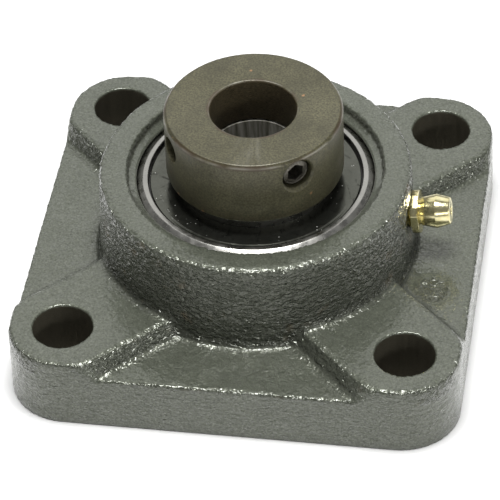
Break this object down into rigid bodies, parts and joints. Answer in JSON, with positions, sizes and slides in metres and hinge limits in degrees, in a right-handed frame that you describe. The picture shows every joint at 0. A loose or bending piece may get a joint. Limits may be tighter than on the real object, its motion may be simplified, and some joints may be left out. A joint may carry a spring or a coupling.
{
  "type": "flange mount bearing",
  "caption": "Square four-bolt flange bearing unit with a self-aligning ball insert, eccentric locking collar and grease fitting.",
  "frame": {"origin": "centre of the flange's back face, on the shaft's axis", "axes": "+Z along the shaft towards the locking collar, +X towards the grease fitting, flange sides along X and Y"},
  "size_m": [0.0844, 0.0844, 0.0435],
  "materials": {
    "housing_paint": "glossy grey-green paint over an as-cast skin",
    "brass": "turned",
    "bearing_steel": "ground",
    "ball_steel": "polished",
    "spring_steel": "drawn wire",
    "seal_rubber": "moulded",
    "slinger_steel": "satin sheet",
    "cage_steel": "pressed sheet",
    "collar_steel": "black oxide, turned",
    "screw_steel": "black oxide"
  },
  "bodies": {
    "housing": {"housing": "housing_paint", "grease_fitting_body": "brass", "grease_fitting_spring": "spring_steel"},
    "check_ball": {"grease_fitting_ball": "bearing_steel"},
    "pin_cradle": {"anti_rotation_pin": "bearing_steel"},
    "outer_ring": {"outer_ring": "bearing_steel", "front_seal": "seal_rubber", "rear_seal": "seal_rubber"},
    "inner_ring": {"inner_ring": "bearing_steel", "front_slinger": "slinger_steel", "rear_slinger": "slinger_steel"},
    "cage": {"cage_front": "cage_steel", "cage_rear": "cage_steel", "cage_rivets": "cage_steel"},
    "locking_collar": {"locking_collar": "collar_steel"},
    "set_screw": {"set_screw": "screw_steel"},
    "ball_1": {"ball_1": "ball_steel"},
    "ball_2": {"ball_2": "ball_steel"},
    "ball_3": {"ball_3": "ball_steel"},
    "ball_4": {"ball_4": "ball_steel"},
    "ball_5": {"ball_5": "ball_steel"},
    "ball_6": {"ball_6": "ball_steel"},
    "ball_7": {"ball_7": "ball_steel"},
    "ball_8": {"ball_8": "ball_steel"}
  },
  "joints": [
    {"name": "check_ball_lift", "type": "slide", "parent": "housing", "child": "check_ball", "axis": [-0.9914, 0, -0.1305], "range_m": [0, 0.001], "stiffness_N_per_m": 200, "springref_m": -0.001, "deforming": ["grease_fitting_spring"]},
    {"name": "insert_tilt_y", "type": "hinge", "parent": "housing", "child": "pin_cradle", "pos_m": [0, 0, 0.02], "axis": [0, 1, 0], "range_deg": [-5, 5]},
    {"name": "insert_tilt_x", "type": "hinge", "parent": "pin_cradle", "child": "outer_ring", "pos_m": [0, 0, 0.02], "axis": [1, 0, 0], "range_deg": [-5, 5]},
    {"name": "inner_spin", "type": "hinge", "parent": "outer_ring", "child": "inner_ring", "pos_m": [0, 0, 0.02], "axis": [0, 0, 1], "continuous": true},
    {"name": "cage_orbit", "type": "hinge", "parent": "outer_ring", "child": "cage", "pos_m": [0, 0, 0.02], "axis": [0, 0, 1], "continuous": true},
    {"name": "ball_1_spin", "type": "hinge", "parent": "cage", "child": "ball_1", "pos_m": [0.01547, 0.00641, 0.02], "axis": [0, 0, 1], "continuous": true},
    {"name": "ball_2_spin", "type": "hinge", "parent": "cage", "child": "ball_2", "pos_m": [0.00641, 0.01547, 0.02], "axis": [0, 0, 1], "continuous": true},
    {"name": "ball_3_spin", "type": "hinge", "parent": "cage", "child": "ball_3", "pos_m": [-0.00641, 0.01547, 0.02], "axis": [0, 0, 1], "continuous": true},
    {"name": "ball_4_spin", "type": "hinge", "parent": "cage", "child": "ball_4", "pos_m": [-0.01547, 0.00641, 0.02], "axis": [0, 0, 1], "continuous": true},
    {"name": "ball_5_spin", "type": "hinge", "parent": "cage", "child": "ball_5", "pos_m": [-0.01547, -0.00641, 0.02], "axis": [0, 0, 1], "continuous": true},
    {"name": "ball_6_spin", "type": "hinge", "parent": "cage", "child": "ball_6", "pos_m": [-0.00641, -0.01547, 0.02], "axis": [0, 0, 1], "continuous": true},
    {"name": "ball_7_spin", "type": "hinge", "parent": "cage", "child": "ball_7", "pos_m": [0.00641, -0.01547, 0.02], "axis": [0, 0, 1], "continuous": true},
    {"name": "ball_8_spin", "type": "hinge", "parent": "cage", "child": "ball_8", "pos_m": [0.01547, -0.00641, 0.02], "axis": [0, 0, 1], "continuous": true},
    {"name": "collar_lock", "type": "hinge", "parent": "inner_ring", "child": "locking_collar", "pos_m": [0, 0, 0.0368], "axis": [0, 0, 1], "range_deg": [-20, 20]},
    {"name": "set_screw_travel", "type": "slide", "parent": "locking_collar", "child": "set_screw", "axis": [-0.6157, 0.788, 0], "range_m": [0, 0.0014]}
  ],
  "couplings": [
    {"joint": "cage_orbit", "follows": "inner_spin", "ratio": 0.38152},
    {"joint": "ball_1_spin", "follows": "inner_spin", "ratio": -1.9916},
    {"joint": "ball_2_spin", "follows": "inner_spin", "ratio": -1.9916},
    {"joint": "ball_3_spin", "follows": "inner_spin", "ratio": -1.9916},
    {"joint": "ball_4_spin", "follows": "inner_spin", "ratio": -1.9916},
    {"joint": "ball_5_spin", "follows": "inner_spin", "ratio": -1.9916},
    {"joint": "ball_6_spin", "follows": "inner_spin", "ratio": -1.9916},
    {"joint": "ball_7_spin", "follows": "inner_spin", "ratio": -1.9916},
    {"joint": "ball_8_spin", "follows": "inner_spin", "ratio": -1.9916}
  ]
}
